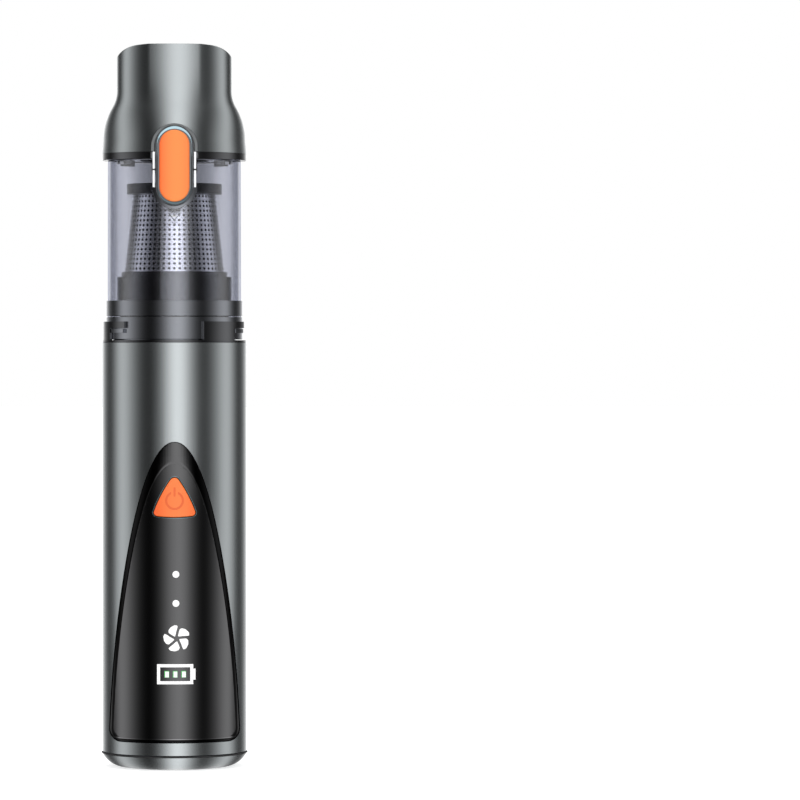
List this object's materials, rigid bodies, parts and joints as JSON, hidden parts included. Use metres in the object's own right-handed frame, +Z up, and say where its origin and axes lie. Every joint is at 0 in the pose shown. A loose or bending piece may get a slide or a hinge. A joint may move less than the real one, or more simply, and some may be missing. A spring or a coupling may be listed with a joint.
{
  "type": "handheld vacuum cleaner",
  "caption": "Slim cylindrical car vacuum with a clear dust cup, perforated cone filter, hinged nose with a latch, power button panel and tail port.",
  "frame": {"origin": "on the body's axis at the foot, in the middle of the tail port's mouth", "axes": "+Z up along the body to the nose, -Y towards the control panel, +X to the right of it"},
  "size_m": [0.067, 0.0727, 0.3302],
  "materials": {
    "gunmetal": "satin metallic lacquer",
    "gloss_black": "polished",
    "black_plastic": "fine matt grain",
    "orange_plastic": "satin",
    "clear_plastic": "clear, smoke tint",
    "white_plastic": "translucent white",
    "steel": "bright",
    "rubber": "matt",
    "board": "solder mask",
    "cell": "shrink sleeve",
    "filter_paper": "pleated paper"
  },
  "bodies": {
    "body": {"body_shell": "gunmetal", "base_cap": "gunmetal", "base_ring": "rubber", "tail_grille": "black_plastic", "base_screws": "steel", "control_panel": "gloss_black", "light_guide": "white_plastic", "circuit_board": "board", "board_screws": "steel", "switch_body": "black_plastic", "usb_socket": "steel", "charge_board": "board", "chassis": "black_plastic", "battery_tray": "black_plastic", "battery_cells": "cell", "battery_lid": "black_plastic", "motor_can": "steel", "motor_end_bell": "black_plastic", "motor_damper": "rubber", "motor_screws": "steel", "fan_shroud": "black_plastic", "intake_guard": "black_plastic", "collar": "black_plastic", "collar_screws": "steel", "collar_seal": "rubber"},
    "rotor": {"motor_shaft": "steel", "impeller": "black_plastic", "impeller_nut": "steel"},
    "power": {"power_button": "orange_plastic", "switch_plunger": "white_plastic"},
    "cup": {"dust_cup": "clear_plastic", "hinge_pin": "steel", "latch_pin": "steel", "latch_spring": "steel", "filter_base": "black_plastic", "filter_seal": "rubber", "filter_core": "filter_paper", "filter_mesh": "steel", "filter_cap": "black_plastic"},
    "latch": {"latch_lever": "black_plastic", "latch_pad": "orange_plastic"},
    "nose": {"nose_cone": "gunmetal", "nose_base": "black_plastic", "nose_seal": "rubber", "inlet_duct": "black_plastic", "flap_pin": "steel"},
    "flap": {"inlet_flap": "rubber"}
  },
  "joints": [
    {"name": "rotor_spin", "type": "hinge", "parent": "body", "child": "rotor", "pos_m": [0, 0, 0.17], "axis": [0, 0, 1], "continuous": true},
    {"name": "power_press", "type": "slide", "parent": "body", "child": "power", "axis": [0, 1, 0], "range_m": [0, 0.0008], "stiffness_N_per_m": 400, "springref_m": -0.001},
    {"name": "cup_twist", "type": "hinge", "parent": "body", "child": "cup", "pos_m": [0, 0, 0.1959], "axis": [0, 0, 1], "range_deg": [0, 25]},
    {"name": "latch_press", "type": "hinge", "parent": "cup", "child": "latch", "pos_m": [0, -0.0322, 0.2727], "axis": [1, 0, 0], "range_deg": [0, 6], "stiffness_Nm_per_rad": 0.05, "springref_deg": -11.46, "deforming": ["latch_spring"]},
    {"name": "nose_open", "type": "hinge", "parent": "cup", "child": "nose", "pos_m": [0, 0.0352, 0.2778], "axis": [-1, 0, 0], "range_deg": [0, 100]},
    {"name": "flap_swing", "type": "hinge", "parent": "nose", "child": "flap", "pos_m": [0, 0.011, 0.303], "axis": [1, 0, 0], "range_deg": [0, 55], "stiffness_Nm_per_rad": 0.004, "springref_deg": -11.46}
  ]
}
